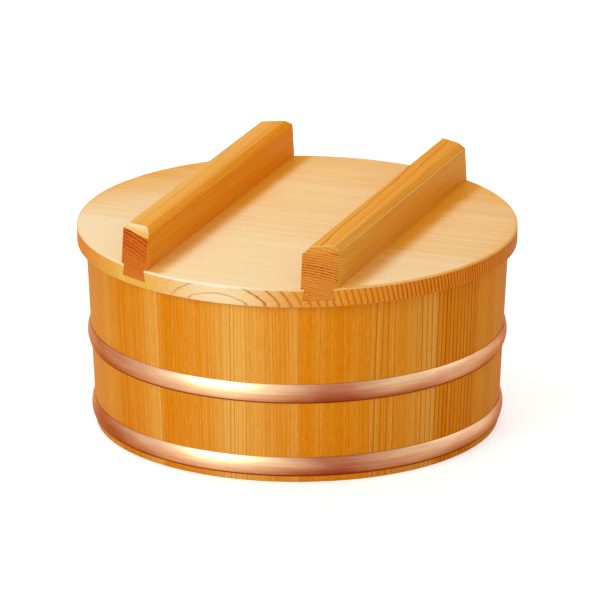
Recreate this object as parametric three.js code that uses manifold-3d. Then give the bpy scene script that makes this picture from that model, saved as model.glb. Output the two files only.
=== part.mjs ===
// A lidded tub for sushi rice, as a cooper builds it: tapered staves pinned edge to edge and drawn tight by
// two copper hoops, a pinned bottom let into a groove, and a flat lid of pinned boards that two dovetailed
// cleats hold flat. Millimetres, +Z up. The origin is the middle of the foot ring on the floor. The cleats
// run along Y, and the grain of the lid and of the bottom runs along X.

import * as THREE from 'three';
import { mergeVertices } from 'three/addons/utils/BufferGeometryUtils.js';
import Module from 'manifold-3d';

// Tub wall, by its outer face
const WALL_RIM_RADIUS = 165;
const WALL_FOOT_RADIUS = 158;
const WALL_HEIGHT = 145.2;
const WALL_THICKNESS = 15;
const WALL_EDGE_EASE = 1;

// Staves: the uneven ones in front, by their widths round the rim, then even ones round the back. The first
// joint is turned this many degrees from +X
const FIRST_JOINT_TURN = -133.5;
const FRONT_STAVE_WIDTHS = [66.8, 59.3, 58.8, 58.2, 59.9, 51, 41.5];
const BACK_STAVES = 11;

// Bottom, let into a groove in the staves
const BOTTOM_THICKNESS = 14;
const BOTTOM_RECESS = 9;
const GROOVE_DEPTH = 4;
const BOTTOM_JOINTS = [-74, 0, 74];

// Half-round copper hoops: places are the heights of their lower edges
const HOOP_HEIGHT = 15.4;
const HOOP_DEPTH = 2.5;
const HOOP_EDGE = 0.7;
const LOWER_HOOP_PLACE = 5.2;
const UPPER_HOOP_PLACE = 65.2;

// Lid
const LID_RADIUS = 172;
const LID_THICKNESS = 14.8;
const LID_EDGE_EASE = 1.4;
const LID_JOINTS = [-42.5, 62];

// Cleats, with a dovetail tail under their shoulders
const CLEAT_SPACING = 151.2;
const CLEAT_WIDTH = 25.6;
const CLEAT_HEIGHT = 31.3;
const CLEAT_CHAMFER = 4.4;
const CLEAT_END_LEAN = 3.6;
const TAIL_DEPTH = 8.8;
const TAIL_NECK_WIDTH = 19;
const TAIL_FOOT_WIDTH = 22;

// Bevel planed across the left cleat's front end: its drop at the cleat's middle, and its turn in degrees
const BEVEL_DROP = 6;
const BEVEL_TURN = -14.7;

// Bamboo pins across every joint
const PIN_DIAMETER = 4;
const PIN_LENGTH = 30;
const PIN_TIP = 2;
const STAVE_PIN_PLACE = 100;
const BOTTOM_PIN_PLACES = [-60, 60];
const LID_PIN_PLACES = [-120, 0, 120];

// Fits and facets
const CLEARANCE = 0.3;
const ROUND_STEPS = 72;
const HOOP_STEPS = 4;
const PIN_SIDES = 6;
const WELD = 1e-4;

// Heights and radii that follow from the sizes above
const BOTTOM_TOP = BOTTOM_RECESS + BOTTOM_THICKNESS;
const LID_UNDERSIDE = WALL_HEIGHT + CLEARANCE;
const LID_TOP = LID_UNDERSIDE + LID_THICKNESS;
const CLEAT_SHOULDER = LID_TOP + CLEARANCE;
const CLEAT_TOP = CLEAT_SHOULDER + CLEAT_HEIGHT;
const TAIL_BOTTOM = LID_TOP - TAIL_DEPTH;
const GROOVE_RADIUS = wallRadius(BOTTOM_TOP) - WALL_THICKNESS + GROOVE_DEPTH;
const REACH = 2 * Math.max(WALL_RIM_RADIUS, WALL_FOOT_RADIUS, LID_RADIUS);
const RIGHT_ANGLE = Math.PI / 2;

const SAWARA_WALL = { color: 0xd08c3c, roughness: 0.62, metalness: 0 };
const SAWARA_LID = { color: 0xf0d8ac, roughness: 0.6, metalness: 0 };
const SAWARA_CLEAT = { color: 0xd9963f, roughness: 0.58, metalness: 0 };
const SAWARA_BOTTOM = { color: 0xe0b878, roughness: 0.65, metalness: 0 };
const COPPER = { color: 0xc98a63, roughness: 0.34, metalness: 1 };
const BAMBOO = { color: 0xd8bf7c, roughness: 0.5, metalness: 0 };

const wasm = await Module();
wasm.setup();
const tub = new THREE.Group();

// Outer radius of the tapered wall at a height
function wallRadius(height) {
  return WALL_FOOT_RADIUS + (WALL_RIM_RADIUS - WALL_FOOT_RADIUS) * height / WALL_HEIGHT;
}

// Inner radius of the tapered wall at a height
function innerRadius(height) {
  return wallRadius(height) - WALL_THICKNESS;
}

// A closed geometry as a solid that can be cut and joined
function solidOf(geometry) {
  const bare = geometry.clone();
  bare.deleteAttribute('normal');
  bare.deleteAttribute('uv');
  const welded = mergeVertices(bare, WELD);
  const vertProperties = welded.attributes.position.array;
  const triVerts = new Uint32Array(welded.index.array);
  return new wasm.Manifold(new wasm.Mesh({ numProp: 3, vertProperties, triVerts }));
}

// A cut or joined solid as a geometry again
function geometryOf(solid) {
  const mesh = solid.getMesh();
  const geometry = new THREE.BufferGeometry();
  geometry.setAttribute('position', new THREE.BufferAttribute(mesh.vertProperties, mesh.numProp));
  geometry.setIndex(new THREE.BufferAttribute(mesh.triVerts, 1));
  geometry.computeVertexNormals();
  return geometry;
}

// One named piece of the tub
function addPiece(name, geometry, finish) {
  const piece = new THREE.Mesh(geometry, new THREE.MeshStandardMaterial(finish));
  piece.name = name;
  tub.add(piece);
  return piece;
}

// A profile of [radius, height] points turned about Z
function turned(points, steps) {
  const profile = points.map(([radius, height]) => new THREE.Vector2(radius, height));
  return new THREE.LatheGeometry(profile, steps).rotateX(RIGHT_ANGLE);
}

// A section of [x, z] points run along Y, half to each side of the middle
function runAlongY(points, length) {
  const section = new THREE.Shape(points.map(([x, z]) => new THREE.Vector2(x, z)));
  const bar = new THREE.ExtrudeGeometry(section, { depth: length, bevelEnabled: false });
  return bar.rotateX(RIGHT_ANGLE).translate(0, length / 2, 0);
}

// A round board lying flat, with both its edges eased
function roundBoard(radius, thickness, ease, underside) {
  const outline = new THREE.Shape().absarc(0, 0, radius, 0, 2 * Math.PI);
  const board = new THREE.ExtrudeGeometry(outline, {
    depth: thickness - 2 * ease,
    curveSegments: ROUND_STEPS,
    bevelEnabled: ease > 0,
    bevelSize: ease,
    bevelOffset: -ease,
    bevelThickness: ease,
    bevelSegments: 1,
  });
  return board.translate(0, 0, underside + ease);
}

// A bamboo pin along Y, pointed a little at both ends
function pinGeometry() {
  const radius = PIN_DIAMETER / 2;
  const half = PIN_LENGTH / 2;
  const tip = radius / 2;
  const shank = half - PIN_TIP;
  const points = [[0, -half], [tip, -half], [radius, -shank], [radius, shank], [tip, half], [0, half]];
  return turned(points, PIN_SIDES).rotateX(-RIGHT_ANGLE);
}

// The hole for a pin along Y
function pinHole() {
  const radius = PIN_DIAMETER / 2 + CLEARANCE;
  return new THREE.CylinderGeometry(radius, radius, PIN_LENGTH + 2 * CLEARANCE, PIN_SIDES);
}

// The space between two joint lines that run along X
function boardSpace(from, to) {
  const space = new THREE.BoxGeometry(2 * REACH, to - from - CLEARANCE, 2 * REACH);
  return solidOf(space.translate(0, (from + to) / 2, 0));
}

// The space between two upright joints, each an angle in radians
function staveSpace(from, to) {
  const middle = (from + to) / 2;
  const origin = new THREE.Vector2();
  const apex = new THREE.Vector2(CLEARANCE / 2 / Math.sin((to - from) / 2), 0).rotateAround(origin, middle);
  const start = new THREE.Vector2(REACH, CLEARANCE / 2).rotateAround(origin, from);
  const end = new THREE.Vector2(REACH, -CLEARANCE / 2).rotateAround(origin, to);
  const plan = new THREE.Shape([apex, start, end]);
  const wedge = new THREE.ExtrudeGeometry(plan, { depth: WALL_HEIGHT + 2 * CLEARANCE, bevelEnabled: false });
  return solidOf(wedge.translate(0, 0, -CLEARANCE));
}

// Splits a round board along straight joints and pins the pieces together
function addBoards(name, round, joints, pinPlaces, pinHeight, finish) {
  const pinSpots = joints.flatMap((joint) => pinPlaces.map((place) => [place, joint, pinHeight]));
  const holes = pinSpots.map((spot) => solidOf(pinHole().translate(...spot)));
  const drilled = holes.reduce((left, hole) => left.subtract(hole), round);
  const edges = [-REACH, ...joints, REACH];
  for (let i = 0; i + 1 < edges.length; i += 1) {
    const board = drilled.intersect(boardSpace(edges[i], edges[i + 1]));
    addPiece(`${name}_board_${i + 1}`, geometryOf(board), finish);
  }
  pinSpots.forEach((spot, i) => {
    addPiece(`${name}_pin_${i + 1}`, pinGeometry(), BAMBOO).position.set(...spot);
  });
}

// All joints between staves, in radians, once round the tub
function staveJoints() {
  const joints = [THREE.MathUtils.degToRad(FIRST_JOINT_TURN)];
  FRONT_STAVE_WIDTHS.forEach((width) => joints.push(joints.at(-1) + width / WALL_RIM_RADIUS));
  const last = joints.at(-1);
  const step = (joints[0] + 2 * Math.PI - last) / BACK_STAVES;
  for (let i = 1; i < BACK_STAVES; i += 1) joints.push(last + i * step);
  return joints;
}

// Staves: one tapered ring with its groove, drilled for the pins and cut at each joint
function addStaves() {
  const ease = WALL_EDGE_EASE;
  const grooveFoot = BOTTOM_RECESS - CLEARANCE;
  const grooveTop = BOTTOM_TOP + CLEARANCE;
  const ring = solidOf(turned([
    [innerRadius(0), 0],
    [wallRadius(0) - ease, 0],
    [wallRadius(ease), ease],
    [wallRadius(WALL_HEIGHT - ease), WALL_HEIGHT - ease],
    [wallRadius(WALL_HEIGHT) - ease, WALL_HEIGHT],
    [innerRadius(WALL_HEIGHT) + ease, WALL_HEIGHT],
    [innerRadius(WALL_HEIGHT - ease), WALL_HEIGHT - ease],
    [innerRadius(grooveTop), grooveTop],
    [GROOVE_RADIUS, grooveTop],
    [GROOVE_RADIUS, grooveFoot],
    [innerRadius(grooveFoot), grooveFoot],
    [innerRadius(0), 0],
  ], ROUND_STEPS));

  const joints = staveJoints();
  const pinRadius = wallRadius(STAVE_PIN_PLACE) - WALL_THICKNESS / 2;
  const hole = pinHole().translate(pinRadius, 0, STAVE_PIN_PLACE);
  const drilled = joints.reduce((left, turn) => left.subtract(solidOf(hole.clone().rotateZ(turn))), ring);
  joints.forEach((turn, i) => {
    const number = String(i + 1).padStart(2, '0');
    const next = i + 1 < joints.length ? joints[i + 1] : joints[0] + 2 * Math.PI;
    addPiece(`stave_${number}`, geometryOf(drilled.intersect(staveSpace(turn, next))), SAWARA_WALL);
    const pin = addPiece(`stave_pin_${number}`, pinGeometry(), BAMBOO);
    pin.position.set(pinRadius * Math.cos(turn), pinRadius * Math.sin(turn), STAVE_PIN_PLACE);
    pin.rotation.z = turn;
  });
}

// Bottom boards, in the groove of the staves
function addBottom() {
  const round = solidOf(roundBoard(GROOVE_RADIUS - CLEARANCE, BOTTOM_THICKNESS, 0, BOTTOM_RECESS));
  const middle = BOTTOM_RECESS + BOTTOM_THICKNESS / 2;
  addBoards('bottom', round, BOTTOM_JOINTS, BOTTOM_PIN_PLACES, middle, SAWARA_BOTTOM);
}

// A hoop: flat against the wall's taper inside, bowed outside
function addHoop(name, place) {
  const steps = Array.from({ length: HOOP_STEPS + 1 }, (_, i) => i / HOOP_STEPS);
  const outside = steps.map((step) => {
    const bow = 1 - (2 * step - 1) ** 2;
    const height = place + step * HOOP_HEIGHT;
    return [wallRadius(height) + CLEARANCE + HOOP_EDGE + bow * (HOOP_DEPTH - HOOP_EDGE), height];
  });
  const foot = [wallRadius(place) + CLEARANCE, place];
  const top = [wallRadius(place + HOOP_HEIGHT) + CLEARANCE, place + HOOP_HEIGHT];
  addPiece(name, turned([foot, ...outside, top, foot], ROUND_STEPS), COPPER);
}

// The tail under a cleat, and its socket when it is given room
function tailSection(room, top) {
  const foot = TAIL_FOOT_WIDTH / 2 + room;
  const neck = TAIL_NECK_WIDTH / 2 + room;
  const bottom = TAIL_BOTTOM - room;
  return [[-neck, top], [-neck, LID_TOP], [-foot, bottom], [foot, bottom], [neck, LID_TOP], [neck, top]];
}

// Lid boards, with a dovetail socket across them for each cleat
function addLid() {
  const socket = runAlongY(tailSection(CLEARANCE, CLEAT_TOP), 2 * REACH);
  const disc = solidOf(roundBoard(LID_RADIUS, LID_THICKNESS, LID_EDGE_EASE, LID_UNDERSIDE));
  const socketed = [-1, 1].reduce((left, side) => {
    return left.subtract(solidOf(socket.clone().translate(side * CLEAT_SPACING / 2, 0, 0)));
  }, disc);
  const middle = (LID_UNDERSIDE + LID_TOP) / 2;
  addBoards('lid', socketed, LID_JOINTS, LID_PIN_PLACES, middle, SAWARA_LID);
}

// A cleat's bar, cut to the lid's round rim: its ends lean in, and its top edges are chamfered all round
function cleatSolid(side) {
  const half = CLEAT_WIDTH / 2;
  const flat = CLEAT_TOP - CLEAT_CHAMFER;
  const crown = half - CLEAT_CHAMFER;
  const body = [[half, CLEAT_SHOULDER], [half, flat], [crown, CLEAT_TOP]];
  const mirrored = body.map(([x, z]) => [-x, z]).reverse();
  const bar = runAlongY([...mirrored, ...tailSection(0, CLEAT_SHOULDER), ...body], 2 * REACH);
  const crownRadius = LID_RADIUS - CLEAT_END_LEAN;
  const rim = turned([
    [0, LID_UNDERSIDE],
    [LID_RADIUS, LID_UNDERSIDE],
    [LID_RADIUS, LID_TOP],
    [crownRadius, flat],
    [crownRadius - CLEAT_CHAMFER, CLEAT_TOP],
    [0, CLEAT_TOP],
  ], ROUND_STEPS);
  return solidOf(bar.translate(side * CLEAT_SPACING / 2, 0, 0)).intersect(solidOf(rim));
}

// The waste above the bevel on the left cleat's front end
function bevelWaste() {
  const aside = -CLEAT_SPACING / 2;
  const crownRadius = LID_RADIUS - CLEAT_END_LEAN;
  const front = -Math.sqrt(crownRadius ** 2 - aside ** 2);
  const waste = new THREE.BoxGeometry(2 * CLEAT_WIDTH, 2 * CLEAT_WIDTH, CLEAT_WIDTH);
  waste.translate(0, 0, CLEAT_WIDTH / 2).rotateX(Math.PI / 4).rotateZ(THREE.MathUtils.degToRad(BEVEL_TURN));
  return solidOf(waste.translate(aside, front, CLEAT_TOP - BEVEL_DROP));
}

addStaves();
addBottom();
addHoop('lower_hoop', LOWER_HOOP_PLACE);
addHoop('upper_hoop', UPPER_HOOP_PLACE);
addLid();
addPiece('left_cleat', geometryOf(cleatSolid(-1).subtract(bevelWaste())), SAWARA_CLEAT);
addPiece('right_cleat', geometryOf(cleatSolid(1)), SAWARA_CLEAT);

export default tub;
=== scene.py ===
"""Dresses the sushi rice tub: planed sawara cypress staves, boards and cleats, and satin copper hoops."""

import math
import random
from dataclasses import dataclass
from functools import partial

import bmesh
import bpy
from bpy.props import FloatProperty, FloatVectorProperty, PointerProperty
from mathutils import Matrix, Vector


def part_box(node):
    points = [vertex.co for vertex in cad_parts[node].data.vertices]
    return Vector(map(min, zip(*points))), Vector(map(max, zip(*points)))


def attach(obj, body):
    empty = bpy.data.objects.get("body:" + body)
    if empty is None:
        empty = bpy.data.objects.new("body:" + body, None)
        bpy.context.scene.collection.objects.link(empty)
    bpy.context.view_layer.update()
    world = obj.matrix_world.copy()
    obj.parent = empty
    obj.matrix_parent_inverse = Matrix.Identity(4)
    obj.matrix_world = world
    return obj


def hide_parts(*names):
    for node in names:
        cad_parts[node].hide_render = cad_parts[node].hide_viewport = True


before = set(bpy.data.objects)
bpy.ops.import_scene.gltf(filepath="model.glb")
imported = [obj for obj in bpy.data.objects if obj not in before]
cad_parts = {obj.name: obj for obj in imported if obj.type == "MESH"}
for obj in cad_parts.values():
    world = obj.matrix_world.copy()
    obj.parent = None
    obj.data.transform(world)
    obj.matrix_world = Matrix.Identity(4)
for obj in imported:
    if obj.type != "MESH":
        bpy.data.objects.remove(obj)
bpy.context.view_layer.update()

bl_info = {
    "name": "Sushi Rice Tub",
    "version": (1, 0, 0),
    "blender": (4, 5, 0),
    "location": "3D View > Sidebar > Rice Tub",
    "description": "Builds the visible boards, hoops and cleats of a lidded rice tub round its packed solids",
    "category": "Object",
}

MM = 0.001
ALONG_X = Vector((1, 0, 0))
ALONG_Y = Vector((0, 1, 0))
UP = Vector((0, 0, 1))

# Facets fine enough to look round at the photograph's size
STAVE_COLUMNS = 10
RIM_STEPS = 288
ARC_STEPS = 72
HOOP_STEPS = 240
HOOP_SECTION_STEPS = 16
ROUND_STEPS = 3
EASE_STEPS = 2
HOLE_SIDES = 16

# Turns at which shading has a crease, and at which a cleat's edge is sharp
CREASE = math.radians(18)
SHARP_EDGE = math.radians(22)

# Corners closer than this are one, and corners this close in height are level
TOUCHING = 0.0001 * MM
LEVEL = 0.05 * MM

# Slack of the bottom in its groove and of a hoop on the wall, spare length of a pin's hole, and how far a
# cutting tool goes past what it cuts
GROOVE_SLACK = 0.1 * MM
HOOP_SLACK = 0.02 * MM
HOLE_SPARE = 0.3 * MM
TOOL_SPARE = 1 * MM

# A face narrower than this lies along an eased edge
EASED_WIDTH = 1 * MM

# A cleat's dovetail starts this far below the lid's top
TAIL_START = 0.1 * MM


def linear(hex_colour):
    """An sRGB hex colour as linear red, green and blue."""
    parts = [int(hex_colour[i:i + 2], 16) / 255 for i in (1, 3, 5)]
    return tuple(p / 12.92 if p <= 0.04045 else ((p + 0.055) / 1.055) ** 2.4 for p in parts)


def colour(name, description, hex_colour):
    """A colour that a user may change."""
    return FloatVectorProperty(
        name=name, description=description, subtype="COLOR", min=0, max=1, default=linear(hex_colour))


def length(name, description, default):
    """A length in metres that a user may change."""
    return FloatProperty(name=name, description=description, default=default, unit="LENGTH", precision=5)


def angle(name, description, degrees):
    """An angle that a user may change."""
    return FloatProperty(name=name, description=description, default=math.radians(degrees), subtype="ANGLE")


def power(name, description, watts):
    """A lamp's power that a user may change."""
    return FloatProperty(name=name, description=description, default=watts, subtype="POWER")


def wood_colours(heart, sap, rubbed, late, end, end_deep, end_late):
    """The colours of one wood that a user may change."""
    return {
        "heart": colour("Heartwood", "Deep wood towards the heart of the log", heart),
        "sap": colour("Sapwood", "Pale wood towards the bark", sap),
        # The pale colour of eased edges is partly wear and partly a painted highlight where edges catch the
        # light
        "rubbed": colour("Rubbed wood", "Pale wood on rubbed edges", rubbed),
        "late": colour("Latewood", "Dark line that ends each year's growth", late),
        "end": colour("End grain", "Pale wood cut across the grain", end),
        "end_deep": colour("Deep end grain", "Deep wood cut across the grain", end_deep),
        "end_late": colour("End latewood", "Year lines cut across the grain", end_late),
    }


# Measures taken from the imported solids

def widest(node, height):
    """The largest distance from the tub's axis among a solid's corners at a height."""
    corners = [v.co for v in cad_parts[node].data.vertices]
    return max(c.xy.length for c in corners if abs(c.z - height) < LEVEL)


def middle(node):
    """The middle of a solid's box."""
    low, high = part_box(node)
    return (low + high) / 2


def stave_pin(stave):
    """The pin in the joint that a stave starts from."""
    return stave.replace("stave", "stave_pin")


STAVES = sorted(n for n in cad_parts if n.startswith("stave_") and "pin" not in n)
LID_BOARDS = sorted(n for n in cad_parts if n.startswith("lid_board"))
BOTTOM_BOARDS = sorted(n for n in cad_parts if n.startswith("bottom_board"))
PINS = sorted(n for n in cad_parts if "_pin_" in n)
HOOPS = ("lower_hoop", "upper_hoop")
CLEATS = ("left_cleat", "right_cleat")

# The wall's outer face is straight between the solids' eased foot and rim
WALL_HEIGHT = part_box(STAVES[0])[1].z
WALL_EASE = 1 * MM
WALL_SLOPE = (widest(STAVES[0], WALL_HEIGHT - WALL_EASE) - widest(STAVES[0], WALL_EASE)) / (
    WALL_HEIGHT - 2 * WALL_EASE)
WALL_FOOT = widest(STAVES[0], WALL_EASE) - WALL_SLOPE * WALL_EASE
STAVE_JOINTS = {stave: math.atan2(*middle(stave_pin(stave)).yx) for stave in STAVES}

LID_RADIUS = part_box(LID_BOARDS[1])[1].x
LID_UNDERSIDE, LID_TOP = (corner.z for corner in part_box(LID_BOARDS[0]))
BOTTOM_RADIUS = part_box(BOTTOM_BOARDS[1])[1].x
BOTTOM_UNDERSIDE, BOTTOM_TOP = (corner.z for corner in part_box(BOTTOM_BOARDS[0]))
TAIL_BOTTOM, CLEAT_TOP = (corner.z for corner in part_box(CLEATS[0]))


def wall_radius(height):
    """Outer radius of the tapered wall at a height."""
    return WALL_FOOT + WALL_SLOPE * height


def between_joints(boards, gap):
    """Each board of a round lid or bottom, with the lines along X that it lies between; None at the rim."""
    lines = [(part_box(a)[1].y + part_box(b)[0].y) / 2 for a, b in zip(boards, boards[1:])]
    lows = [None, *(line + gap / 2 for line in lines)]
    highs = [*(line - gap / 2 for line in lines), None]
    return zip(boards, lows, highs)


def pins_beside(kind, low, high):
    """The pins of the lid or the bottom that lie in the joints at these lines."""
    lines = [line for line in (low, high) if line is not None]
    return [p for p in PINS if p.startswith(kind) and any(abs(middle(p).y - line) < MM for line in lines)]


# Sizes, colours and stage that a user would change

class TubSizes(bpy.types.PropertyGroup):
    """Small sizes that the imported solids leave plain."""

    wall_thickness: length("Wall thickness", "Thickness of a stave", 15 * MM)
    joint_gap: length("Joint gap", "Gap left between two boards pressed together", 0.06 * MM)
    stave_arris: length("Stave arris", "Width of the edge taken off each stave along its joints", 0.6 * MM)
    arris_depth: length("Arris depth", "Depth of the edge taken off each stave along its joints", 0.3 * MM)
    wall_round: length("Wall round", "Rounding of the wall's rim and foot", 1.2 * MM)
    lid_round: length("Lid round", "Rounding of the lid's rim", 1.6 * MM)
    board_arris: length("Board arris", "Rounding of the bottom boards' rim", 0.5 * MM)
    cleat_chamfer: length("Cleat chamfer", "Chamfer round the top of a cleat", 4.4 * MM)
    cleat_lean: length("Cleat lean", "How far a cleat's ends lean in below the chamfer", 3.6 * MM)
    cleat_arris: length("Cleat arris", "Rounding of a cleat's edges", 0.7 * MM)
    tail_neck: length("Tail neck", "Width of a cleat's dovetail at the lid's top", 19 * MM)
    tail_foot: length("Tail foot", "Width of a cleat's dovetail at its bottom", 22 * MM)
    tail_gap: length("Tail gap", "Gap between a cleat's dovetail and its socket", 0.3 * MM)
    bevel_drop: length("Bevel drop", "Drop of the bevel on the left cleat's front end", 5.2 * MM)
    bevel_turn: angle("Bevel turn", "Turn of that bevel about the upright", -18)
    bevel_slope: angle("Bevel slope", "Slope of that bevel", 45)
    hoop_edge: length("Hoop edge", "Thickness of a hoop along its edges", 0.6 * MM)
    hoop_depth: length("Hoop depth", "Thickness of a hoop at its middle", 2.75 * MM)
    pin_hole: length("Pin hole", "Diameter of the holes for the bamboo pins", 4.2 * MM)


class WallWood(bpy.types.PropertyGroup):
    """Colours of the staves."""

    __annotations__ = wood_colours(
        heart="#dc8309", sap="#ebae50", rubbed="#f2c478", late="#aa480c",
        end="#c07a2e", end_deep="#a8622a", end_late="#8a4214")


class LidWood(bpy.types.PropertyGroup):
    """Colours of the lid boards."""

    __annotations__ = wood_colours(
        heart="#f0b25a", sap="#f6d7a3", rubbed="#fff2d8", late="#b85c00",
        end="#ebb650", end_deep="#e4841e", end_late="#b45200")


class CleatWood(bpy.types.PropertyGroup):
    """Colours of the cleats."""

    __annotations__ = wood_colours(
        heart="#ec9212", sap="#eeb45a", rubbed="#f8e6c6", late="#9c4e0c",
        end="#ea9c3c", end_deep="#cc6018", end_late="#842604")


class BottomWood(bpy.types.PropertyGroup):
    """Colours of the bottom boards."""

    __annotations__ = wood_colours(
        heart="#e29a3c", sap="#f0c47c", rubbed="#f6dcae", late="#b8762f",
        end="#c98a44", end_deep="#b87a3a", end_late="#8f5522")


class TrimColours(bpy.types.PropertyGroup):
    """Colours of the hoops, the pins and the floor."""

    copper: colour("Copper", "Clean satin copper", "#f6d8ac")
    # Painted shade: the colour of a hoop's lower side
    copper_shaded_below: colour("Lower copper", "Copper that has dulled on its lower side", "#c07844")
    # Tint for random stains and for painted reflection, which darkens broad patches of a hoop
    copper_stain_and_reflection: colour("Copper stain", "Tint that stains lay over the copper", "#c08a82")
    # Painted shadow: the dark line along a hoop's lower edge
    copper_edge_shadow: colour("Dark copper", "Copper that has darkened along its lower edge", "#7a2c10")
    copper_glance: colour("Glancing copper", "Tint that copper has at a glancing view", "#e7bca0")
    bamboo: colour("Bamboo", "Split bamboo", "#d9c07e")
    bamboo_fibre: colour("Bamboo fibre", "Darker fibres in the bamboo", "#b08c48")
    floor: colour("Floor", "Pale paper on the floor", "#f4f3f1")


class StageSettings(bpy.types.PropertyGroup):
    """Camera and light."""

    turn: angle("Turn", "Camera's turn round the tub", 20.67)
    rise: angle("Rise", "Camera's height above the horizon", 18.53)
    distance: length("Distance", "Camera's distance from the middle of the tub", 5626 * MM)
    middle: length("Middle", "Height that the distance is measured from", 80 * MM)
    aim_right: length("Aim right", "How far the camera aims to the right of the middle", 2.1 * MM)
    aim_up: length("Aim up", "How far the camera aims above the middle, across its view", 14.0 * MM)
    lens: FloatProperty(name="Lens", description="Focal length in mm on a 36 mm sensor", default=430.6)
    key: power("Key light", "Power of the main lamp", 7.8)
    gloss: power("Gloss light", "Power of the wide lamp that only shiny surfaces show", 9.8)
    top: power("Top light", "Power of the lamp above", 7.6)
    fill: power("Fill light", "Power of the fill lamp", 5)
    back: power("Back light", "Power of the lamp behind", 7.2)
    sky: FloatProperty(name="Sky", description="Strength of the even light from the sides", default=0.04)
    overhead: FloatProperty(
        name="Overhead", description="Strength of the even light from above", default=0.48)
    front: FloatProperty(
        name="Front", description="Strength of the soft light added from the front", default=1.1)


GROUPS = {
    "tub_sizes": TubSizes,
    "wall_wood": WallWood,
    "lid_wood": LidWood,
    "cleat_wood": CleatWood,
    "bottom_wood": BottomWood,
    "trim_colours": TrimColours,
    "tub_stage": StageSettings,
}


# Mesh helpers

def mesh_object(name, corners, faces):
    """A new object in the scene with this closed mesh, its faces turned outwards."""
    mesh = bpy.data.meshes.new(name)
    mesh.from_pydata([tuple(c) for c in corners], [], faces)
    shape = bmesh.new()
    shape.from_mesh(mesh)
    bmesh.ops.remove_doubles(shape, verts=shape.verts, dist=TOUCHING)
    bmesh.ops.recalc_face_normals(shape, faces=shape.faces)
    shape.to_mesh(mesh)
    shape.free()
    made = bpy.data.objects.new(name, mesh)
    bpy.context.scene.collection.objects.link(made)
    return made


def skin(loops, closed=False):
    """Faces over loops of equally many corners, with capped ends or joined in a ring."""
    size, count = len(loops[0]), len(loops)
    faces = []
    for i in range(count if closed else count - 1):
        near, far = i * size, (i + 1) % count * size
        faces += [(near + k, near + (k + 1) % size, far + (k + 1) % size, far + k) for k in range(size)]
    if not closed:
        faces += [tuple(range(size - 1, -1, -1)), tuple(range((count - 1) * size, count * size))]
    return [corner for loop in loops for corner in loop], faces


def turned(name, profile, steps):
    """A closed profile of (radius, height) points turned once round the tub's axis."""
    loops = []
    for i in range(steps):
        turn = math.tau * i / steps
        loops.append([(r * math.cos(turn), r * math.sin(turn), z) for r, z in profile])
    return mesh_object(name, *skin(loops, closed=True))


def run_along_y(name, section, reach):
    """A section of (x, z) points run along Y as far as reach to both sides."""
    loops = [[(x, y, z) for x, z in section] for y in (-reach, reach)]
    return mesh_object(name, *skin(loops))


def rounded(corner, before, after, radius):
    """Points that round the corner of a profile, on its way from before to after."""
    corner, before, after = Vector(corner), Vector(before), Vector(after)
    start = corner + (before - corner).normalized() * radius
    end = corner + (after - corner).normalized() * radius
    points = []
    for i in range(ROUND_STEPS + 1):
        t = i / ROUND_STEPS
        points.append(tuple(start * (1 - t) ** 2 + corner * 2 * t * (1 - t) + end * t ** 2))
    return points


def settle(piece):
    """Applies a piece's modifiers to its mesh."""
    shown = piece.evaluated_get(bpy.context.evaluated_depsgraph_get())
    mesh, old = bpy.data.meshes.new_from_object(shown), piece.data
    piece.modifiers.clear()
    piece.data = mesh
    bpy.data.meshes.remove(old)


def cut(piece, tool, operation):
    """Cuts a piece with another mesh, which is used up."""
    saw = piece.modifiers.new("saw", "BOOLEAN")
    saw.operation, saw.object, saw.solver = operation, tool, "EXACT"
    settle(piece)
    bpy.data.meshes.remove(tool.data)


def drill(piece, pins, diameter):
    """Drills the holes that these bamboo pins sit in."""
    corners, faces = [], []
    turns = [math.tau * k / HOLE_SIDES for k in range(HOLE_SIDES)]
    for pin in pins:
        ends = [v.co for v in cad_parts[pin].data.vertices]
        centre = middle(pin)
        along = max((e - centre for e in ends), key=lambda e: e.length)
        along = (along - along.z * UP).normalized()
        reach = max(abs((e - centre).dot(along)) for e in ends) + HOLE_SPARE
        across = along.cross(UP)
        ring = [(across * math.cos(turn) + UP * math.sin(turn)) * diameter / 2 for turn in turns]
        loops = [[centre + along * end + out for out in ring] for end in (-reach, reach)]
        more_corners, more_faces = skin(loops)
        faces += [tuple(i + len(corners) for i in face) for face in more_faces]
        corners += more_corners
    cut(piece, mesh_object("drill", corners, faces), "DIFFERENCE")


def board_outline(radius, low, high):
    """Outline of what two lines along X leave of a disc; None leaves that side whole."""
    right = [-math.pi / 2 if low is None else math.asin(low / radius),
             math.pi / 2 if high is None else math.asin(high / radius)]
    left = [math.pi - right[1], math.pi - right[0]]
    if low is None:
        arcs = [(left[0] - math.tau, right[1])]
    elif high is None:
        arcs = [(right[0], left[1])]
    else:
        arcs = [right, left]
    turns = [a + (b - a) * i / ARC_STEPS for a, b in arcs for i in range(ARC_STEPS + 1)]
    return [(radius * math.cos(turn), radius * math.sin(turn)) for turn in turns]


def round_board(name, radius, underside, top, edge, low, high):
    """One board of a round lid or bottom, with its rim rounded."""
    profile = [
        *rounded((radius, underside), (0, underside), (radius, top), edge),
        *rounded((radius, top), (radius, underside), (0, top), edge),
    ]
    loops = [[(x, y, z) for x, y in board_outline(r, low, high)] for r, z in profile]
    return mesh_object(name, *skin(loops))


def tail_section(sizes, room, top):
    """The dovetail under a cleat, and its socket when it is given room."""
    neck, foot = sizes.tail_neck / 2 + room, sizes.tail_foot / 2 + room
    bottom = TAIL_BOTTOM - room
    return [(-neck, top), (-neck, LID_TOP), (-foot, bottom), (foot, bottom), (neck, LID_TOP), (neck, top)]


def is_narrow(mesh, face):
    """Whether a face is one of the narrow ones along an eased edge."""
    corners = [mesh.vertices[i].co for i in face.vertices]
    longest = max((a - b).length for a, b in zip(corners, corners[1:] + corners[:1]))
    return face.area < EASED_WIDTH * longest


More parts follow.
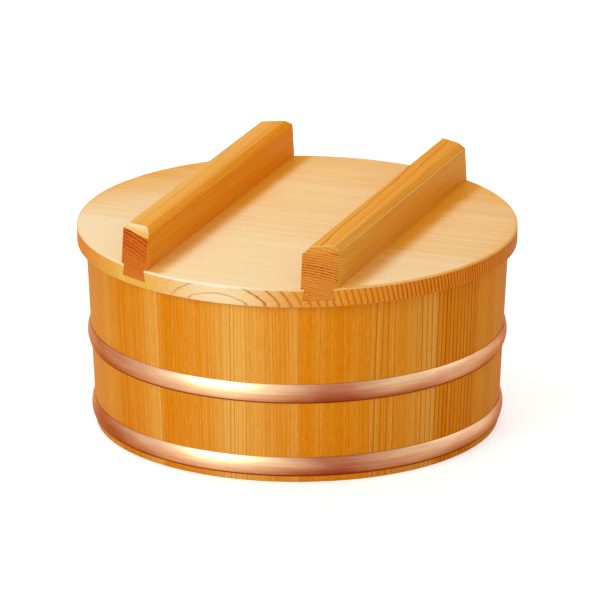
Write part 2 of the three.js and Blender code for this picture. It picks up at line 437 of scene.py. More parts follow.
def dress(piece, node, body, material):
    """Gives a piece its material, sets its creases, and puts it in place of its solid."""
    piece.data.materials.clear()
    piece.data.materials.append(material)
    piece.data.shade_smooth()
    piece.data.set_sharp_from_angle(angle=CREASE)
    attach(piece, body)
    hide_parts(node)


# Wood: where a board lay in its log

# Slopes across the grain between which a face turns to end grain
STAVE_TURN = (0.5, 0.8)
FLAT_TURN = (0.0, 0.4)
CLEAT_TURN = (0.5, 0.78)

# A flat board's rim faces up or down by less than this
RIM_SLOPE = 0.5

# An edge that faces further down than this, away from the light, is neither worn paler nor given a painted
# highlight
WEAR_AND_HIGHLIGHT_SLOPE = -0.1

# How a streak comes up across a board, from its front to its back, and how fast it fades along the grain
STREAK_ACROSS = (0, 0.1, 1, 1, 1)
STREAK_FADE = 4


def shares(values):
    """Each value's share of the way from the least to the greatest."""
    low, reach = min(values), max(max(values) - min(values), TOUCHING)
    return [(value - low) / reach for value in values]


def between(values, share):
    """The value at a share of the way along evenly spaced ones."""
    spot = share * (len(values) - 1)
    i = min(int(spot), len(values) - 2)
    return values[i] + (values[i + 1] - values[i]) * (spot - i)


def smooth_share(value, low, high):
    """How far a value is on its way from low to high, starting and ending smoothly."""
    share = min(max((value - low) / (high - low), 0), 1)
    return share * share * (3 - 2 * share)


@dataclass
class Log:
    """A board's place in the log that it was sawn from, and what wood it is.

    A tuple holds values at even steps from one side of the board to the other.
    """

    # A point on the log's heart, which runs along the grain
    heart: Vector
    # Directions across the board and along its grain
    across: Vector
    grain: Vector
    # Width of a year's growth in mm
    years: float
    # Across the grain: tone, from 0 for heartwood to 1 for sapwood, and how strongly year lines show
    tone: tuple
    lines: tuple
    # On end grain, from the bottom up, or along the grain on a flat board's rim: tone, and how lines show
    end: tuple = (0.5, 0.5)
    end_lines: tuple = (1.0, 1.0)
    # Slopes between which a face turns to end grain
    turn: tuple = STAVE_TURN
    # How far the rings lean aside for each length along the grain
    lean: float = 0.0
    # Whether it is a board of the round lid or bottom
    flat: bool = False
    # Along the grain: how much paler eased edges are, partly wear and partly painted highlight, and how the
    # tone changes
    worn: tuple = (0.3, 0.3)
    drift: tuple = (0.0, 0.0)
    # How much deeper the wood is towards its back at the start of the grain
    streak: float = 0.0

    @classmethod
    def beside(cls, node, heart, **wood):
        """The log of a piece whose heart lies this far from the piece's middle, in mm."""
        return cls(heart=middle(node) + Vector(heart) * MM, **wood)

    def is_sawn(self, face):
        """Whether a face is cut across the grain, or is the rim of a flat board."""
        if self.flat:
            return abs(face.normal.z) < RIM_SLOPE
        return abs(face.normal.dot(self.grain)) > self.turn[1]

    def wood_at(self, side, along, rise, eased, sawn):
        """Tone, strength of lines, width of years and end grain's tone at one corner of a face."""
        end = along if self.flat else rise
        tone = between(self.tone, side) + between(self.drift, along)
        tone -= self.streak * between(STREAK_ACROSS, side) * (1 - along) ** STREAK_FADE
        # Eased edges are paler: partly wear, partly painted highlight
        if eased:
            tone += between(self.worn, along)
        lines = between(self.end_lines, end) if sawn else between(self.lines, side)
        return tone, lines, self.years, between(self.end, end)

    def mark(self, piece):
        """Writes on a piece its place in the log, its wood, and which faces are end grain."""
        mesh = piece.data
        mesh.attributes.new("log_place", "FLOAT_VECTOR", "POINT")
        mesh.attributes.new("wood", "FLOAT_COLOR", "CORNER")
        mesh.attributes.new("end_grain", "FLOAT", "CORNER")
        # A new attribute moves the others in memory, so all are looked up once they are there
        place, wood, end_grain = (mesh.attributes[name].data for name in ("log_place", "wood", "end_grain"))
        third = self.grain.cross(self.across)
        places = [v.co - self.heart for v in mesh.vertices]
        asides = [p.dot(self.across) for p in places]
        alongs = [p.dot(self.grain) for p in places]
        for i, p in enumerate(places):
            place[i].vector = (asides[i] + self.lean * alongs[i], p.dot(third), alongs[i])
        side, along, rise = shares(asides), shares(alongs), shares([p.z for p in places])
        for face in mesh.polygons:
            # Only edges that face up into the light get the paleness of wear and painted highlight
            eased = face.normal.z > WEAR_AND_HIGHLIGHT_SLOPE and is_narrow(mesh, face)
            sawn = self.is_sawn(face)
            for corner in face.loop_indices:
                v = mesh.loops[corner].vertex_index
                wood[corner].color = self.wood_at(side[v], along[v], rise[v], eased, sawn)
                slope = abs(mesh.corner_normals[corner].vector.dot(self.grain))
                end_grain[corner].value = 0 if eased and self.flat else smooth_share(slope, *self.turn)


# Materials

# Settings that many nodes share
PLUS = {"operation": "ADD"}
MINUS = {"operation": "SUBTRACT"}
TIMES = {"operation": "MULTIPLY"}
TIMES_PLUS = {"operation": "MULTIPLY_ADD"}
LARGER = {"operation": "MAXIMUM"}
LENGTH = {"operation": "LENGTH"}
CLAMPED = {"use_clamp": True}
SMOOTH = {"interpolation_type": "SMOOTHSTEP"}
ONE_WAY = {"noise_dimensions": "1D"}
MIX = {"data_type": "RGBA"}
MIX_BEYOND = {"data_type": "RGBA", "clamp_factor": False}

# How far the painted shadow beside a cleat reaches back from where it is deepest, and how much it changes the
# tone there
CLEAT_SHADOW_BACK = 10 * MM
CLEAT_SHADOW_DEPTH = 1.1


def add_node(owner, kind, settings=None, **inputs):
    """Adds a shader node, sets its settings, and fills or links its inputs.

    Inputs go by name, with _ for a space, or by in_ and their number. A node given as an input is linked by
    its first output in use.
    """
    node = owner.node_tree.nodes.new(f"ShaderNode{kind}")
    for name, value in (settings or {}).items():
        setattr(node, name, value)
    for name, value in inputs.items():
        if name.startswith("in_"):
            socket = node.inputs[int(name[3:])]
        else:
            socket = next(s for s in node.inputs if s.enabled and s.name == name.replace("_", " "))
        if isinstance(value, bpy.types.Node):
            value = next(s for s in value.outputs if s.enabled)
        if isinstance(value, bpy.types.NodeSocket):
            owner.node_tree.links.new(value, socket)
        else:
            socket.default_value = value
    return node


def emptied(owner):
    """A new material or world with an empty node tree, and the function that adds nodes to it."""
    owner.use_nodes = True
    owner.node_tree.nodes.clear()
    return owner, partial(add_node, owner)


def cells(beside, along):
    """Scales for a place in metres, so that a pattern's cells are this many mm along X and Y, and along Z."""
    return 1 / (beside * MM), 1 / (beside * MM), 1 / (along * MM)


def year_rings(node, place, years):
    """Wandering distance from the log's heart in mm, the rings' shake, and the years counted from it."""
    # Rings wander by a millimetre over a hand's breadth, and shake by a tenth of one over 3 mm
    wander_place = node("VectorMath", TIMES, in_0=place, in_1=cells(62.5, 200))
    wander = node("TexNoise", Vector=wander_place, Scale=1.0, Detail=4.0, Roughness=0.45)
    shake_place = node("VectorMath", TIMES, in_0=place, in_1=cells(3.0303, 66.667))
    shake = node("TexNoise", Vector=shake_place, Scale=1.0, Detail=2.0)
    beside = node("VectorMath", TIMES, in_0=place, in_1=(1 / MM, 1 / MM, 0))
    distance = node("VectorMath", LENGTH, in_0=beside)
    wandered = node("Math", TIMES_PLUS, in_0=wander, in_1=5.0, in_2=distance)
    shaken = node("Math", TIMES_PLUS, in_0=shake, in_1=0.9, in_2=wandered)
    rings = node("Math", {"operation": "DIVIDE"}, in_0=shaken, in_1=years)
    return wandered, shake, rings


def year_ends(node, rings, across, line_start, evenness):
    """How dark the wood is that ends each year."""
    year = node("Math", {"operation": "FLOOR"}, in_0=rings)
    season = node("Math", {"operation": "FRACT"}, in_0=rings)
    # A year's wood darkens slowly and ends at once, and sawn across the grain more of it looks dark
    onset = node("MapRange", Value=across, To_Min=line_start, To_Max=0.6)
    full = node("Math", PLUS, in_0=onset, in_1=0.15)
    darker = node("MapRange", SMOOTH, Value=season, From_Min=onset, From_Max=full)
    ended = node(
        "MapRange", SMOOTH, Value=season, From_Min=0.95, From_Max=1.0, To_Min=1.0, To_Max=0.0)
    shown = node("Math", TIMES, in_0=darker, in_1=ended)
    # Some years end darker than others, and so do whole runs of about five years
    harvest = node("TexWhiteNoise", ONE_WAY, W=year)
    run = node("TexNoise", ONE_WAY, W=rings, Scale=1 / 5, Detail=0.0)
    weakest = node("MapRange", Value=across, To_Min=0.35, To_Max=evenness)
    weight = node("MapRange", Value=harvest, To_Min=weakest, To_Max=1.0)
    weak = node(
        "MapRange", SMOOTH, Value=run, From_Min=0.35, From_Max=0.6, To_Min=weakest, To_Max=1.0)
    weighed = node("Math", TIMES, in_0=weight, in_1=weak)
    return node("Math", TIMES, in_0=shown, in_1=weighed)


def uneven_tone(node, place, wandered):
    """The fibres of the wood, and how its tone varies with them and with runs of years and flecks."""
    # Fibres 0.7 mm wide that run the length of a board; real ones are finer, and would not show
    fibre_place = node("VectorMath", TIMES, in_0=place, in_1=cells(0.71429, 625))
    fibre = node("TexNoise", Vector=fibre_place, Scale=1.0, Detail=2.0, Roughness=0.6)
    fibred = node("MapRange", Value=fibre, From_Min=0.2, From_Max=0.8, To_Min=-0.45, To_Max=0.45)
    # Good and lean years come in runs, about 14 mm of the log each
    spell = node("TexNoise", ONE_WAY, W=wandered, Scale=1 / 14.2857, Detail=3.0)
    spelled = node("MapRange", Value=spell, From_Min=0.2, From_Max=0.8, To_Min=-0.12, To_Max=0.12)
    # Flecks 1 mm wide and 7 mm long, where short fibres end at the surface
    fleck_place = node("VectorMath", TIMES, in_0=place, in_1=cells(1, 7.1429))
    fleck = node("TexNoise", Vector=fleck_place, Scale=1.0, Detail=1.0)
    flecked = node("MapRange", Value=fleck, From_Min=0.3, From_Max=0.7, To_Min=-0.13, To_Max=0.13)
    mottled = node("Math", PLUS, in_0=spelled, in_1=flecked)
    return fibre, node("Math", PLUS, in_0=fibred, in_1=mottled)


def painted_cleat_shadow(node, place, cleat_shadows):
    """How much deeper the top of the boards is painted in the shadow beside each cleat: a painted shadow."""
    along = node("SeparateXYZ", Vector=place).outputs["Z"]
    upward = node("SeparateXYZ", Vector=node("NewGeometry").outputs["Normal"]).outputs["Z"]
    on_top = node("MapRange", SMOOTH, Value=upward, From_Min=0.7, From_Max=0.95)
    painted_shade = 0.0
    for start, end in cleat_shadows:
        fading = node(
            "MapRange", SMOOTH, Value=along, From_Min=start, From_Max=end, To_Min=CLEAT_SHADOW_DEPTH,
            To_Max=0.0)
        begun = node("Math", {"operation": "GREATER_THAN"}, in_0=along, in_1=start - CLEAT_SHADOW_BACK)
        painted_shade = node("Math", TIMES_PLUS, in_0=fading, in_1=begun, in_2=painted_shade)
    return node("Math", TIMES, in_0=painted_shade, in_1=on_top)


def planed_sawara(name, wood, line_start=0.78, evenness=0.45, cleat_shadows=()):
    """Sawara cypress finished with a hand plane.

    A pale softwood with even, narrow year rings that each end in a thin darker line, so planed faces show
    fine straight lines along the grain with a low satin sheen. End grain drinks in light: it is darker and
    redder, and shows the rings as stronger, broken lines. Line_start is the part of a year at which its line
    starts, and evenness how dark the palest lines on end grain are. The places given for the cleats' shadows,
    each as start and end along the grain, are where the top of the boards is painted deeper, a painted shadow
    beside each cleat.
    """
    material, node = emptied(bpy.data.materials.new(name))
    place = node("Attribute", {"attribute_name": "log_place"}).outputs["Vector"]
    board = node("Attribute", {"attribute_name": "wood"}).outputs
    tone, lines, years = node("SeparateXYZ", Vector=board["Vector"]).outputs
    across = node("Attribute", {"attribute_name": "end_grain"}).outputs["Fac"]

    wandered, shake, rings = year_rings(node, place, years)
    latewood = year_ends(node, rings, across, line_start, evenness)
    line = node("Math", TIMES | CLAMPED, in_0=latewood, in_1=lines)
    fibre, varied = uneven_tone(node, place, wandered)

    # Planed along the grain
    toned = node("Math", PLUS, in_0=tone, in_1=varied)
    # Painted shadow beside the cleats deepens the tone on top of the lid
    if cleat_shadows:
        toned = node("Math", MINUS, in_0=toned, in_1=painted_cleat_shadow(node, place, cleat_shadows))
    depth = node("Clamp", Value=toned, Min=-0.3, Max=1.2)
    # Eased edges turn paler, partly wear and partly painted highlight
    pale = node("MapRange", SMOOTH, Value=tone, From_Min=1.0, From_Max=2.0)
    sound = node("Mix", MIX_BEYOND, Factor=depth, A=(*wood.heart, 1), B=(*wood.sap, 1))
    body = node("Mix", MIX_BEYOND, Factor=pale, A=sound, B=(*wood.rubbed, 1))
    plank = node("Mix", MIX_BEYOND, Factor=line, A=body, B=(*wood.late, 1))

    # Sawn across it
    end_tone = node("Math", PLUS, in_0=board["Alpha"], in_1=varied)
    butt = node("Mix", MIX_BEYOND, Factor=end_tone, A=(*wood.end_deep, 1), B=(*wood.end, 1))
    broken = node("MapRange", Value=shake, From_Min=0.35, From_Max=0.6, To_Min=evenness, To_Max=1.0)
    end_line = node("Math", TIMES, in_0=line, in_1=broken)
    sawn = node("Mix", MIX_BEYOND, Factor=end_line, A=butt, B=(*wood.end_late, 1))
    shown = node("Mix", MIX_BEYOND, Factor=across, A=plank, B=sawn)

    sheen = node("MapRange", Value=fibre, To_Min=0.42, To_Max=0.6)
    relief = node("Math", TIMES_PLUS, in_0=line, in_1=0.5, in_2=fibre)
    bump = node("Bump", Strength=0.25, Distance=0.06 * MM, Height=relief)
    shader = node(
        "BsdfPrincipled", Base_Color=shown, Roughness=sheen, Normal=bump, IOR=1.45,
        Specular_IOR_Level=0.025)
    node("OutputMaterial", Surface=shader)
    return material


def satin_copper(trim):
    """Half-round copper, drawn and rubbed to a satin along its length.

    Its fine rubbing lines run round the tub, so a lamp is smeared up and down the hoop in a broad pale glow.
    It is painted paler on its upper side and darker below, which is painted shade, and its lower edge is
    painted dark, a painted shadow. It is stained at random and in broad patches, which are partly painted
    reflection.
    """
    material, node = emptied(bpy.data.materials.new("satin_copper"))
    place = node("TexCoord").outputs["Object"]
    height = node("Attribute", {"attribute_name": "height"}).outputs["Fac"]
    patch = node("Attribute", {"attribute_name": "dulled"}).outputs["Fac"]

    # Rubbing lines 0.6 mm wide and a hand's breadth long; real ones are ten times finer, and would not show
    rub_place = node("VectorMath", TIMES, in_0=place, in_1=cells(71.429, 0.625))
    paint_pale = node("TexNoise", Vector=rub_place, Scale=1.0, Detail=3.0)
    # Stains a finger long
    stain_place = node("VectorMath", TIMES, in_0=place, in_1=cells(62.5, 11.111))
    stain = node("TexNoise", Vector=stain_place, Scale=1.0, Detail=4.0)
    uneven = node("Math", TIMES_PLUS, in_0=paint_pale, in_1=0.5, in_2=stain)
    stained = node("MapRange", Value=uneven, From_Min=0.45, From_Max=1.05, To_Min=-0.15, To_Max=0.3)

    # Painted shade: a hoop is darker below, and less so where it is cleanest
    shade_below = node("MapRange", Value=height, From_Min=0.1, From_Max=0.9, To_Min=0.9, To_Max=0.0)
    shade_below_weight = node("MapRange", Value=patch, From_Max=0.4, To_Min=0.6, To_Max=1.0)
    shade_below_weighed = node("Math", TIMES, in_0=shade_below, in_1=shade_below_weight)
    shade_and_stain_below = node("Math", PLUS | CLAMPED, in_0=shade_below_weighed, in_1=stained)
    # Stains, at random and in broad patches that are partly painted reflection
    stain_and_reflection = node("Math", PLUS | CLAMPED, in_0=patch, in_1=stained)
    # Painted shadow: a dark line along the hoop's lower edge
    edge = node(
        "MapRange", SMOOTH, Value=height, From_Min=0.03, From_Max=0.13, To_Min=1.0, To_Max=0.0)

    sound = node("Mix", MIX, Factor=shade_and_stain_below, A=(*trim.copper, 1), B=(*trim.copper_shaded_below, 1))
    dulled = node(
        "Mix", MIX | {"blend_type": "MULTIPLY"}, Factor=stain_and_reflection, A=sound, B=(*trim.copper_stain_and_reflection, 1))
    shown = node("Mix", MIX, Factor=edge, A=dulled, B=(*trim.copper_edge_shadow, 1))
    sheen = node("MapRange", Value=uneven, From_Min=0.4, From_Max=1.1, To_Min=0.38, To_Max=0.46)
    bump = node("Bump", Strength=0.2, Distance=0.02 * MM, Height=paint_pale)
    around = node("Tangent", {"direction_type": "RADIAL", "axis": "Z"})
    shader = node(
        "BsdfPrincipled", Base_Color=shown, Metallic=1.0, Roughness=sheen, Normal=bump, Tangent=around,
        Anisotropic=0.6, Anisotropic_Rotation=0.25, Specular_Tint=(*trim.copper_glance, 1))
    node("OutputMaterial", Surface=shader)
    return material


def split_bamboo(trim):
    """Split bamboo, scraped round with a knife.

    Hard pale fibres run along each pin, with a faint gloss.
    """
    material, node = emptied(bpy.data.materials.new("split_bamboo"))
    place = node("TexCoord").outputs["Object"]
    # Fibres 0.5 mm apart
    fibre_place = node("VectorMath", TIMES, in_0=place, in_1=cells(16.667, 0.5))
    fibre = node("TexNoise", Vector=fibre_place, Scale=1.0, Detail=2.0)
    shown = node("Mix", MIX, Factor=fibre, A=(*trim.bamboo, 1), B=(*trim.bamboo_fibre, 1))
    sheen = node("MapRange", Value=fibre, To_Min=0.4, To_Max=0.6)
    shader = node("BsdfPrincipled", Base_Color=shown, Roughness=sheen, IOR=1.45)
    node("OutputMaterial", Surface=shader)
    return material


def seen_plainly(node):
    """1 for a ray from the camera, or by way of a shiny or clear surface, and 0 for one that only lights."""
    path = node("LightPath").outputs
    seen = node("Math", LARGER, in_0=path["Is Camera Ray"], in_1=path["Is Glossy Ray"])
    return node("Math", LARGER, in_0=seen, in_1=path["Is Transmission Ray"])


def matt_paper(trim):
    """White background paper, which fades to plain white away from the tub and keeps its shadow."""
    material, node = emptied(bpy.data.materials.new("matt_paper"))
    # The fade runs from 0.2 to 1.2 m from the tub's axis
    away = node("VectorMath", LENGTH, in_0=node("TexCoord").outputs["Object"])
    fade = node("MapRange", SMOOTH, Value=away, From_Min=0.2, From_Max=1.2, To_Min=0.45, To_Max=0.7)
    strength = node("Math", TIMES, in_0=seen_plainly(node), in_1=fade)
    glow = node("Emission", Color=(1, 1, 1, 1), Strength=strength)
    paper = node("BsdfDiffuse", Color=(*trim.floor, 1))
    node("OutputMaterial", Surface=node("AddShader", in_0=paper, in_1=glow))
    return material


# Operators: one for each group of like pieces, and one for the stage

class RICETUB_OT_staves(bpy.types.Operator):
    """Raises the wall's staves."""

    bl_idname = "rice_tub.staves"
    bl_label = "Staves"

    # The staves in front, from the left: the turn of the log's heart from the stave's right hand, in degrees,
    # its distance and the width of its years in mm, and the tone and how the lines show from left to right
    FRONT = {
        "stave_18": (10, 160, 2.2, (0.15, 0.30), (0.3, 0.3)),
        "stave_01": (170, 190, 2.4, (0.28, -0.02, 0.70), (0.1, 0.3)),
        "stave_02": (175, 220, 2.2, (0.05, 0.12, 0.58), (0.2, 0.2)),
        "stave_03": (8, 150, 3.0, (1.0, 0.75, 0.6, 0.15, 0.6), (0.85, 0.4)),
        "stave_04": (14, 180, 3.3, (0.10, 0.05), (0.25, 0.3)),
        "stave_05": (165, 130, 4.8, (0.15, 0.20, 0.75), (1.2, 0.8)),
        "stave_06": (12, 140, 4.2, (-0.05, -0.10), (1.9, 1.7)),
        "stave_07": (178, 200, 2.2, (0.10, 0.15), (0.2, 0.2)),
        "stave_08": (5, 170, 2.4, (-0.25, -0.25), (0.6, 0.6)),
    }
    SEED = 18

    def execute(self, context):
        sizes = context.scene.tub_sizes
        material = planed_sawara("sawara_staves", context.scene.wall_wood, line_start=0.73)
        picks = random.Random(self.SEED)
        for node, after in zip(STAVES, STAVES[1:] + STAVES[:1]):
            start, end = STAVE_JOINTS[node], STAVE_JOINTS[after]
            end += math.tau if end < start else 0
            stave = self.stave(f"planed_{node}", start, end, sizes)
            drill(stave, [stave_pin(node), stave_pin(after)], sizes.pin_hole)
            dress(stave, node, "tub", material)
            self.log(node, (start + end) / 2, picks).mark(stave)
        return {"FINISHED"}

    @staticmethod
    def profile(sizes):
        """The stave's section from foot to rim, outside first, with its groove for the bottom."""
        edge = sizes.wall_round

        def inner(height):
            return wall_radius(height) - sizes.wall_thickness

        foot_out, rim_out = (wall_radius(0), 0), (wall_radius(WALL_HEIGHT), WALL_HEIGHT)
        foot_in, rim_in = (inner(0), 0), (inner(WALL_HEIGHT), WALL_HEIGHT)
        groove_low, groove_high = BOTTOM_UNDERSIDE - GROOVE_SLACK, BOTTOM_TOP + GROOVE_SLACK
        return [
            *rounded(foot_out, foot_in, rim_out, edge),
            *rounded(rim_out, foot_out, rim_in, edge),
            *rounded(rim_in, rim_out, foot_in, edge),
            (inner(groove_high), groove_high),
            (BOTTOM_RADIUS + GROOVE_SLACK, groove_high),
            (BOTTOM_RADIUS + GROOVE_SLACK, groove_low),
            (inner(groove_low), groove_low),
            *rounded(foot_in, rim_in, foot_out, edge / 2),
        ]

    def stave(self, name, start, end, sizes):
        """One stave between two upright joints, with its outer and inner arrises taken off."""
        profile = self.profile(sizes)
        loops = []
        for column in range(-1, STAVE_COLUMNS + 2):
            at_joint = column in (-1, STAVE_COLUMNS + 1)
            share = min(max(column / STAVE_COLUMNS, 0), 1)
            margin = sizes.joint_gap / 2 + (0 if at_joint else sizes.stave_arris)
            loop = []
            for radius, height in profile:
                side = math.asin(margin / radius)
                turn = start + side + (end - start - 2 * side) * share
                if at_joint:
                    core = wall_radius(height) - sizes.wall_thickness / 2
                    radius += math.copysign(min(sizes.arris_depth, abs(radius - core)), core - radius)
                loop.append((radius * math.cos(turn), radius * math.sin(turn), height))
            loops.append(loop)
        return mesh_object(name, *skin(loops))

    def log(self, node, turn, picks):
        """The log of a stave, with its heart to one side and its grain along the leaning face."""
        # What a stave that isn't in front has, in the same order
        chance = (
            picks.choice((0, 180)) + picks.uniform(-15, 15), picks.uniform(120, 220), picks.uniform(2.0, 4.2),
            (picks.uniform(0.05, 0.6), picks.uniform(0.05, 0.6)),
            (picks.uniform(0.2, 0.9), picks.uniform(0.2, 0.9)))
        heart_turn, distance, years, tone, lines = self.FRONT.get(node, chance)
        outward = Vector((math.cos(turn), math.sin(turn), 0))
        aside = Vector((-math.sin(turn), math.cos(turn), 0))
        bearing = math.radians(heart_turn)
        toward = aside * math.cos(bearing) + outward * math.sin(bearing)
        return Log(
            heart=outward * wall_radius(WALL_HEIGHT / 2) + toward * distance * MM, across=aside,
            grain=(outward * WALL_SLOPE + UP).normalized(), years=years, tone=tone, lines=lines,
            lean=picks.uniform(-0.005, 0.005))


class RICETUB_OT_bottom(bpy.types.Operator):
    """Lays the bottom boards in the staves' groove."""

    bl_idname = "rice_tub.bottom"
    bl_label = "Bottom boards"

    SEED = 4

    def execute(self, context):
        sizes = context.scene.tub_sizes
        material = planed_sawara("sawara_bottom", context.scene.bottom_wood)
        picks = random.Random(self.SEED)
        for node, low, high in between_joints(BOTTOM_BOARDS, sizes.joint_gap):
            board = round_board(
                f"planed_{node}", BOTTOM_RADIUS, BOTTOM_UNDERSIDE, BOTTOM_TOP, sizes.board_arris, low, high)
            drill(board, pins_beside("bottom", low, high), sizes.pin_hole)
            dress(board, node, "tub", material)
            log = Log.beside(
                node, heart=(0, picks.uniform(-40, 40), -picks.uniform(60, 110)),
                tone=(picks.uniform(0.2, 0.6), picks.uniform(0.4, 0.8)), years=picks.uniform(2.2, 3.6),
                lines=(0.4, 0.4), across=ALONG_Y, grain=ALONG_X, turn=FLAT_TURN, lean=0.004, flat=True)
            log.mark(board)
        return {"FINISHED"}


class RICETUB_OT_hoops(bpy.types.Operator):
    """Drives the two copper hoops on."""

    bl_idname = "rice_tub.hoops"
    bl_label = "Copper hoops"

    # How much a hoop is stained all round, and places that differ, some random stains and some painted
    # reflection,
    #     darker where the hoop would reflect darker surroundings and paler under the lamp's glow: the turn of
    #     each one's middle and its reach to each side, in degrees, and how much more it is stained there
    STAINED = 0.35
    STAIN_AND_REFLECTION_SPOTS = (
        (-141, 22, 0.5), (-89, 20, -0.35), (-59, 10, 0.65), (15, 14, 0.5), (98, 14, 0.4), (168, 14, 0.45))

    # How much of the way a hoop's bow goes from a shallow curve to a full half round
    FULLNESS = 0.25

    def execute(self, context):
        sizes = context.scene.tub_sizes
        material = satin_copper(context.scene.trim_colours)
        for node in HOOPS:
            low, high = (corner.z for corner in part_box(node))
            hoop = turned(f"drawn_{node}", self.section(low, high, sizes), HOOP_STEPS)
            self.mark(hoop.data, low, high)
            dress(hoop, node, "tub", material)
        return {"FINISHED"}

    def section(self, low, high, sizes):
        """A hoop's section between two heights: against the wall inside, and bowed outside."""
        bow = []
        for i in range(HOOP_SECTION_STEPS + 1):
            # Steps close up towards the edges, where the section turns fastest
            share = 0.5 - 0.5 * math.cos(math.pi * i / HOOP_SECTION_STEPS)
            height = low + (high - low) * share
            shallow = 1 - (2 * share - 1) ** 2
            rise = math.sqrt(max(0.0, shallow)) * self.FULLNESS + shallow * (1 - self.FULLNESS)
            depth = sizes.hoop_edge + rise * (sizes.hoop_depth - sizes.hoop_edge)
            bow.append((wall_radius(height) + depth, height))
        return [(wall_radius(low) + HOOP_SLACK, low), *bow, (wall_radius(high) + HOOP_SLACK, high)]

    def mark(self, mesh, low, high):
        """Writes on each corner of a hoop its share of the way up, and how much it is stained there, painted
        reflection included.
        """
        for name in ("height", "dulled"):
            mesh.attributes.new(name, "FLOAT", "POINT")
        height, dulled = mesh.attributes["height"].data, mesh.attributes["dulled"].data
        for corner in mesh.vertices:
            turn = math.degrees(math.atan2(corner.co.y, corner.co.x))
            height[corner.index].value = (corner.co.z - low) / (high - low)
            dulled[corner.index].value = self.STAINED + sum(
                more * math.exp(-(((turn - spot + 180) % 360 - 180) / reach) ** 2)
                for spot, reach, more in self.STAIN_AND_REFLECTION_SPOTS)


class RICETUB_OT_lid_boards(bpy.types.Operator):
    """Joins the lid's boards."""

    bl_idname = "rice_tub.lid_boards"
    bl_label = "Lid boards"

    # The wood of each board, as Log says, from front to back across the grain and from left to right along
    # it, with the heart of its log in mm from the board's middle
    WOODS = {
        "lid_board_1": {
            "heart": (0, -144.7, -24), "years": 2.9, "tone": (1.06, 1.08, 1.0), "lines": (0.2, 0.15),
            "end": (-0.5, 1.0, 0.45, 0.35, -0.1), "drift": (0.45, 0, 0, 0, 0)},
        "lid_board_2": {
            "heart": (0, -300, -20), "years": 3.0, "tone": (0.95, 0.8, 0.72, 0.85, 0.85),
            "lines": (0.15, 0.15), "end": (0.1, -0.1), "drift": (0.2, 0, 0, -0.25, -0.35), "streak": 1.1},
        "lid_board_3": {
            "heart": (0, -240, -60), "years": 2.6, "tone": (0.8, 0.45, 0.2, 0.2, 0.35),
            "lines": (0.15, 0.15), "end": (0.2, 0.1), "drift": (-0.8, 0, 0, -0.15, -0.2)},
    }

    # How strongly lines show on the rim, and how much paler its eased edge is, from left to right: partly
    # wear, mostly a painted highlight where the edge faces the light and painted shade where it turns away
    RIM_LINES = (0.0, -0.5, -0.3, 1.7, 0.6, 0.8, 1.7)
    RIM_WEAR_AND_HIGHLIGHT = (-0.75, 0.2, 0.7, -0.9, -1.0)

    # A painted shadow along the right of each cleat, which deepens the shadow that the top lamp casts there:
    # how
    #     far from the cleat it starts to fade and ends, in mm
    CLEAT_SHADOW_REACH = {"left_cleat": (6, 19), "right_cleat": (6, 23)}

    def execute(self, context):
        sizes = context.scene.tub_sizes
        cleat_shadows = [[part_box(cleat)[1].x + reach * MM for reach in self.CLEAT_SHADOW_REACH[cleat]] for cleat in CLEATS]
        material = planed_sawara(
            "sawara_lid", context.scene.lid_wood, line_start=0.87, evenness=0.85, cleat_shadows=cleat_shadows)
        socket = tail_section(sizes, sizes.tail_gap, CLEAT_TOP)
        for node, low, high in between_joints(LID_BOARDS, sizes.joint_gap):
            board = round_board(
                f"planed_{node}", LID_RADIUS, LID_UNDERSIDE, LID_TOP, sizes.lid_round, low, high)
            for cleat in CLEATS:
                section = [(x + middle(cleat).x, z) for x, z in socket]
                cut(board, run_along_y("socket", section, 2 * LID_RADIUS), "DIFFERENCE")
            drill(board, pins_beside("lid", low, high), sizes.pin_hole)
            dress(board, node, "lid", material)
            log = Log.beside(
                node, across=ALONG_Y, grain=ALONG_X, turn=FLAT_TURN, lean=0.006, flat=True,
                end_lines=self.RIM_LINES, worn=self.RIM_WEAR_AND_HIGHLIGHT, **self.WOODS[node])
            log.mark(board)
        return {"FINISHED"}


